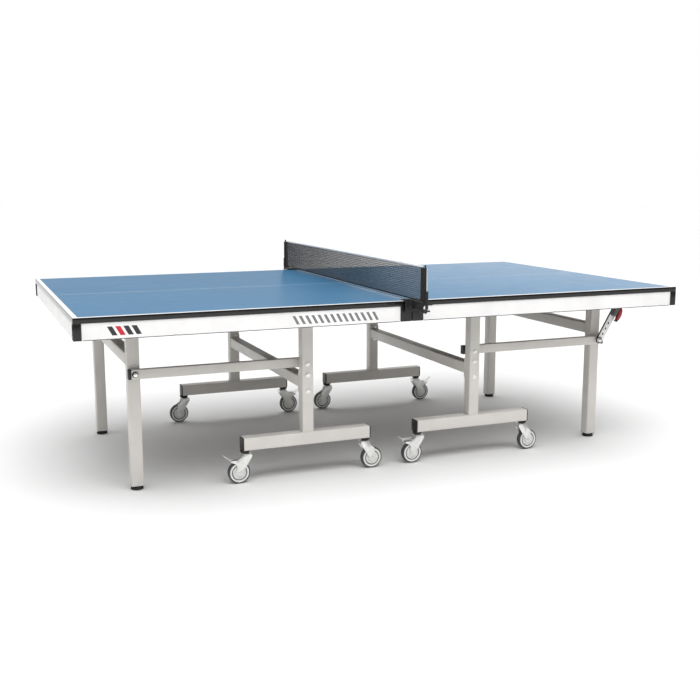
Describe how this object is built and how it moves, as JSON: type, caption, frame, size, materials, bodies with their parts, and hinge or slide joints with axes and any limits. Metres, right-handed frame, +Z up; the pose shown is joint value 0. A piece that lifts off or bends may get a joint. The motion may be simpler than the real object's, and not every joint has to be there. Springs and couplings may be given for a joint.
{
  "type": "ping pong table",
  "caption": "Folding competition ping pong table: blue tops in two halves, white steel undercarriages on casters, upright end legs, clamped net and fold locks.",
  "frame": {"origin": "on the floor below the middle of the net", "axes": "+X along the table to the right end, +Y across it to the back, +Z up"},
  "size_m": [2.74, 1.803, 0.917],
  "materials": {
    "blue_board": "satin",
    "white_steel": "satin powder coat",
    "black_guard": "fine grain",
    "black_foot": "satin",
    "zinc": "bright zinc plate",
    "caster_tyre": "satin",
    "grey_stay": "satin powder coat",
    "red_trigger": "gloss",
    "dark_rod": "satin",
    "net_cloth": "woven mesh",
    "black_net_steel": "satin"
  },
  "bodies": {
    "right_undercarriage": {"right_front_t_frame": "white_steel", "right_back_t_frame": "white_steel", "right_undercarriage_crossbar": "white_steel"},
    "right_top": {"right_board": "blue_board", "right_apron_frame": "white_steel", "right_front_end_guard": "black_guard", "right_front_seam_guard": "black_guard", "right_back_end_guard": "black_guard", "right_back_seam_guard": "black_guard"},
    "right_legs": {"right_leg_frame": "white_steel"},
    "right_links": {"right_front_link_bar": "white_steel", "right_back_link_bar": "white_steel"},
    "right_stay": {"right_lock_stay": "grey_stay"},
    "right_trigger": {"right_lock_trigger": "red_trigger"},
    "right_rod": {"right_release_rod": "dark_rod"},
    "right_front_foot": {"right_front_foot": "black_foot"},
    "right_front_seam_caster": {"right_front_seam_caster_fork": "zinc"},
    "right_front_seam_caster_wheel": {"right_front_seam_caster_wheel": "caster_tyre"},
    "right_front_seam_caster_brake": {"right_front_seam_caster_brake_pedal": "zinc"},
    "right_front_end_caster": {"right_front_end_caster_fork": "zinc"},
    "right_front_end_caster_wheel": {"right_front_end_caster_wheel": "caster_tyre"},
    "right_back_foot": {"right_back_foot": "black_foot"},
    "right_back_seam_caster": {"right_back_seam_caster_fork": "zinc"},
    "right_back_seam_caster_wheel": {"right_back_seam_caster_wheel": "caster_tyre"},
    "right_back_end_caster": {"right_back_end_caster_fork": "zinc"},
    "right_back_end_caster_wheel": {"right_back_end_caster_wheel": "caster_tyre"},
    "right_back_end_caster_brake": {"right_back_end_caster_brake_pedal": "zinc"},
    "root": {"left_back_t_frame": "white_steel", "left_front_t_frame": "white_steel", "left_undercarriage_crossbar": "white_steel"},
    "left_top": {"left_board": "blue_board", "left_apron_frame": "white_steel", "left_back_end_guard": "black_guard", "left_back_seam_guard": "black_guard", "left_front_end_guard": "black_guard", "left_front_seam_guard": "black_guard"},
    "left_legs": {"left_leg_frame": "white_steel"},
    "left_links": {"left_back_link_bar": "white_steel", "left_front_link_bar": "white_steel"},
    "left_stay": {"left_lock_stay": "grey_stay"},
    "left_trigger": {"left_lock_trigger": "red_trigger"},
    "left_rod": {"left_release_rod": "dark_rod"},
    "left_back_foot": {"left_back_foot": "black_foot"},
    "left_back_seam_caster": {"left_back_seam_caster_fork": "zinc"},
    "left_back_seam_caster_wheel": {"left_back_seam_caster_wheel": "caster_tyre"},
    "left_back_seam_caster_brake": {"left_back_seam_caster_brake_pedal": "zinc"},
    "left_back_end_caster": {"left_back_end_caster_fork": "zinc"},
    "left_back_end_caster_wheel": {"left_back_end_caster_wheel": "caster_tyre"},
    "left_front_foot": {"left_front_foot": "black_foot"},
    "left_front_seam_caster": {"left_front_seam_caster_fork": "zinc"},
    "left_front_seam_caster_wheel": {"left_front_seam_caster_wheel": "caster_tyre"},
    "left_front_end_caster": {"left_front_end_caster_fork": "zinc"},
    "left_front_end_caster_wheel": {"left_front_end_caster_wheel": "caster_tyre"},
    "left_front_end_caster_brake": {"left_front_end_caster_brake_pedal": "zinc"},
    "net_set": {"net": "net_cloth", "front_net_post": "black_net_steel", "back_net_post": "black_net_steel"},
    "front_clamp": {"front_clamp_screw": "black_net_steel"},
    "back_clamp": {"back_clamp_screw": "black_net_steel"}
  },
  "joints": [
    {"name": "halves_apart", "type": "slide", "parent": "root", "child": "right_undercarriage", "axis": [1, 0, 0], "range_m": [0, 0.6]},
    {"name": "right_fold", "type": "hinge", "parent": "right_undercarriage", "child": "right_top", "pos_m": [0.401, 0, 0.706], "axis": [0, -1, 0], "range_deg": [0, 90]},
    {"name": "right_leg_swing", "type": "hinge", "parent": "right_top", "child": "right_legs", "pos_m": [1.113, 0, 0.706], "axis": [0, -1, 0], "range_deg": [-90, 0]},
    {"name": "right_link_swing", "type": "hinge", "parent": "right_undercarriage", "child": "right_links", "pos_m": [0.401, 0, 0.489], "axis": [0, -1, 0], "range_deg": [0, 90]},
    {"name": "right_stay_swing", "type": "hinge", "parent": "right_legs", "child": "right_stay", "pos_m": [1.113, 0, 0.489], "axis": [0, -1, 0], "range_deg": [0, 30.6]},
    {"name": "right_trigger_squeeze", "type": "hinge", "parent": "right_stay", "child": "right_trigger", "pos_m": [1.22653, 0, 0.62401], "axis": [0, 1, 0], "range_deg": [0, 12], "stiffness_Nm_per_rad": 0.6, "springref_deg": -5.73},
    {"name": "right_rod_pull", "type": "slide", "parent": "right_stay", "child": "right_rod", "axis": [0.509, 0, 0.8607], "range_m": [0, 0.0021]},
    {"name": "right_front_foot_turn", "type": "hinge", "parent": "right_legs", "child": "right_front_foot", "pos_m": [1.113, -0.481, 0.007], "axis": [0, 0, 1], "continuous": true},
    {"name": "right_front_seam_caster_swivel", "type": "hinge", "parent": "right_undercarriage", "child": "right_front_seam_caster", "pos_m": [0.133, -0.566, 0.127], "axis": [0, 0, 1], "continuous": true},
    {"name": "right_front_seam_caster_roll", "type": "hinge", "parent": "right_front_seam_caster", "child": "right_front_seam_caster_wheel", "pos_m": [0.099, -0.566, 0.0475], "axis": [0, 1, 0], "continuous": true},
    {"name": "right_front_seam_caster_brake_press", "type": "hinge", "parent": "right_front_seam_caster", "child": "right_front_seam_caster_brake", "pos_m": [0.117, -0.566, 0.11], "axis": [0, -1, 0], "range_deg": [0, 10]},
    {"name": "right_front_end_caster_swivel", "type": "hinge", "parent": "right_undercarriage", "child": "right_front_end_caster", "pos_m": [0.669, -0.566, 0.127], "axis": [0, 0, 1], "continuous": true},
    {"name": "right_front_end_caster_roll", "type": "hinge", "parent": "right_front_end_caster", "child": "right_front_end_caster_wheel", "pos_m": [0.703, -0.566, 0.0475], "axis": [0, 1, 0], "continuous": true},
    {"name": "right_back_foot_turn", "type": "hinge", "parent": "right_legs", "child": "right_back_foot", "pos_m": [1.113, 0.481, 0.007], "axis": [0, 0, 1], "continuous": true},
    {"name": "right_back_seam_caster_swivel", "type": "hinge", "parent": "right_undercarriage", "child": "right_back_seam_caster", "pos_m": [0.133, 0.566, 0.127], "axis": [0, 0, 1], "continuous": true},
    {"name": "right_back_seam_caster_roll", "type": "hinge", "parent": "right_back_seam_caster", "child": "right_back_seam_caster_wheel", "pos_m": [0.099, 0.566, 0.0475], "axis": [0, 1, 0], "continuous": true},
    {"name": "right_back_end_caster_swivel", "type": "hinge", "parent": "right_undercarriage", "child": "right_back_end_caster", "pos_m": [0.669, 0.566, 0.127], "axis": [0, 0, 1], "continuous": true},
    {"name": "right_back_end_caster_roll", "type": "hinge", "parent": "right_back_end_caster", "child": "right_back_end_caster_wheel", "pos_m": [0.703, 0.566, 0.0475], "axis": [0, 1, 0], "continuous": true},
    {"name": "right_back_end_caster_brake_press", "type": "hinge", "parent": "right_back_end_caster", "child": "right_back_end_caster_brake", "pos_m": [0.685, 0.566, 0.11], "axis": [0, 1, 0], "range_deg": [0, 10]},
    {"name": "left_fold", "type": "hinge", "parent": "root", "child": "left_top", "pos_m": [-0.401, 0, 0.706], "axis": [0, 1, 0], "range_deg": [0, 90]},
    {"name": "left_leg_swing", "type": "hinge", "parent": "left_top", "child": "left_legs", "pos_m": [-1.113, 0, 0.706], "axis": [0, 1, 0], "range_deg": [-90, 0]},
    {"name": "left_link_swing", "type": "hinge", "parent": "root", "child": "left_links", "pos_m": [-0.401, 0, 0.489], "axis": [0, 1, 0], "range_deg": [0, 90]},
    {"name": "left_stay_swing", "type": "hinge", "parent": "left_legs", "child": "left_stay", "pos_m": [-1.113, 0, 0.489], "axis": [0, 1, 0], "range_deg": [0, 30.6]},
    {"name": "left_trigger_squeeze", "type": "hinge", "parent": "left_stay", "child": "left_trigger", "pos_m": [-1.22653, 0, 0.62401], "axis": [0, -1, 0], "range_deg": [0, 12], "stiffness_Nm_per_rad": 0.6, "springref_deg": -5.73},
    {"name": "left_rod_pull", "type": "slide", "parent": "left_stay", "child": "left_rod", "axis": [-0.509, 0, 0.8607], "range_m": [0, 0.0021]},
    {"name": "left_back_foot_turn", "type": "hinge", "parent": "left_legs", "child": "left_back_foot", "pos_m": [-1.113, 0.481, 0.007], "axis": [0, 0, 1], "continuous": true},
    {"name": "left_back_seam_caster_swivel", "type": "hinge", "parent": "root", "child": "left_back_seam_caster", "pos_m": [-0.133, 0.566, 0.127], "axis": [0, 0, 1], "continuous": true},
    {"name": "left_back_seam_caster_roll", "type": "hinge", "parent": "left_back_seam_caster", "child": "left_back_seam_caster_wheel", "pos_m": [-0.099, 0.566, 0.0475], "axis": [0, 1, 0], "continuous": true},
    {"name": "left_back_seam_caster_brake_press", "type": "hinge", "parent": "left_back_seam_caster", "child": "left_back_seam_caster_brake", "pos_m": [-0.117, 0.566, 0.11], "axis": [0, 1, 0], "range_deg": [0, 10]},
    {"name": "left_back_end_caster_swivel", "type": "hinge", "parent": "root", "child": "left_back_end_caster", "pos_m": [-0.669, 0.566, 0.127], "axis": [0, 0, 1], "continuous": true},
    {"name": "left_back_end_caster_roll", "type": "hinge", "parent": "left_back_end_caster", "child": "left_back_end_caster_wheel", "pos_m": [-0.703, 0.566, 0.0475], "axis": [0, 1, 0], "continuous": true},
    {"name": "left_front_foot_turn", "type": "hinge", "parent": "left_legs", "child": "left_front_foot", "pos_m": [-1.113, -0.481, 0.007], "axis": [0, 0, 1], "continuous": true},
    {"name": "left_front_seam_caster_swivel", "type": "hinge", "parent": "root", "child": "left_front_seam_caster", "pos_m": [-0.133, -0.566, 0.127], "axis": [0, 0, 1], "continuous": true},
    {"name": "left_front_seam_caster_roll", "type": "hinge", "parent": "left_front_seam_caster", "child": "left_front_seam_caster_wheel", "pos_m": [-0.099, -0.566, 0.0475], "axis": [0, 1, 0], "continuous": true},
    {"name": "left_front_end_caster_swivel", "type": "hinge", "parent": "root", "child": "left_front_end_caster", "pos_m": [-0.669, -0.566, 0.127], "axis": [0, 0, 1], "continuous": true},
    {"name": "left_front_end_caster_roll", "type": "hinge", "parent": "left_front_end_caster", "child": "left_front_end_caster_wheel", "pos_m": [-0.703, -0.566, 0.0475], "axis": [0, 1, 0], "continuous": true},
    {"name": "left_front_end_caster_brake_press", "type": "hinge", "parent": "left_front_end_caster", "child": "left_front_end_caster_brake", "pos_m": [-0.685, -0.566, 0.11], "axis": [0, -1, 0], "range_deg": [0, 10]},
    {"name": "net_lift_off", "type": "slide", "parent": "root", "child": "net_set", "axis": [0, 0, 1], "range_m": [0, 0.25]},
    {"name": "front_clamp_turn", "type": "hinge", "parent": "net_set", "child": "front_clamp", "pos_m": [0, -0.85, 0.729], "axis": [0, 1, 0], "continuous": true},
    {"name": "back_clamp_turn", "type": "hinge", "parent": "net_set", "child": "back_clamp", "pos_m": [0, 0.85, 0.729], "axis": [0, 1, 0], "continuous": true}
  ],
  "couplings": [
    {"joint": "right_leg_swing", "follows": "right_fold", "ratio": -1},
    {"joint": "right_link_swing", "follows": "right_fold", "ratio": 1},
    {"joint": "right_stay_swing", "follows": "right_fold", "ratio": 0.34},
    {"joint": "right_rod_pull", "follows": "right_trigger_squeeze", "m_per_rad": 0.00955},
    {"joint": "left_leg_swing", "follows": "left_fold", "ratio": -1},
    {"joint": "left_link_swing", "follows": "left_fold", "ratio": 1},
    {"joint": "left_stay_swing", "follows": "left_fold", "ratio": 0.34},
    {"joint": "left_rod_pull", "follows": "left_trigger_squeeze", "m_per_rad": 0.00955}
  ]
}
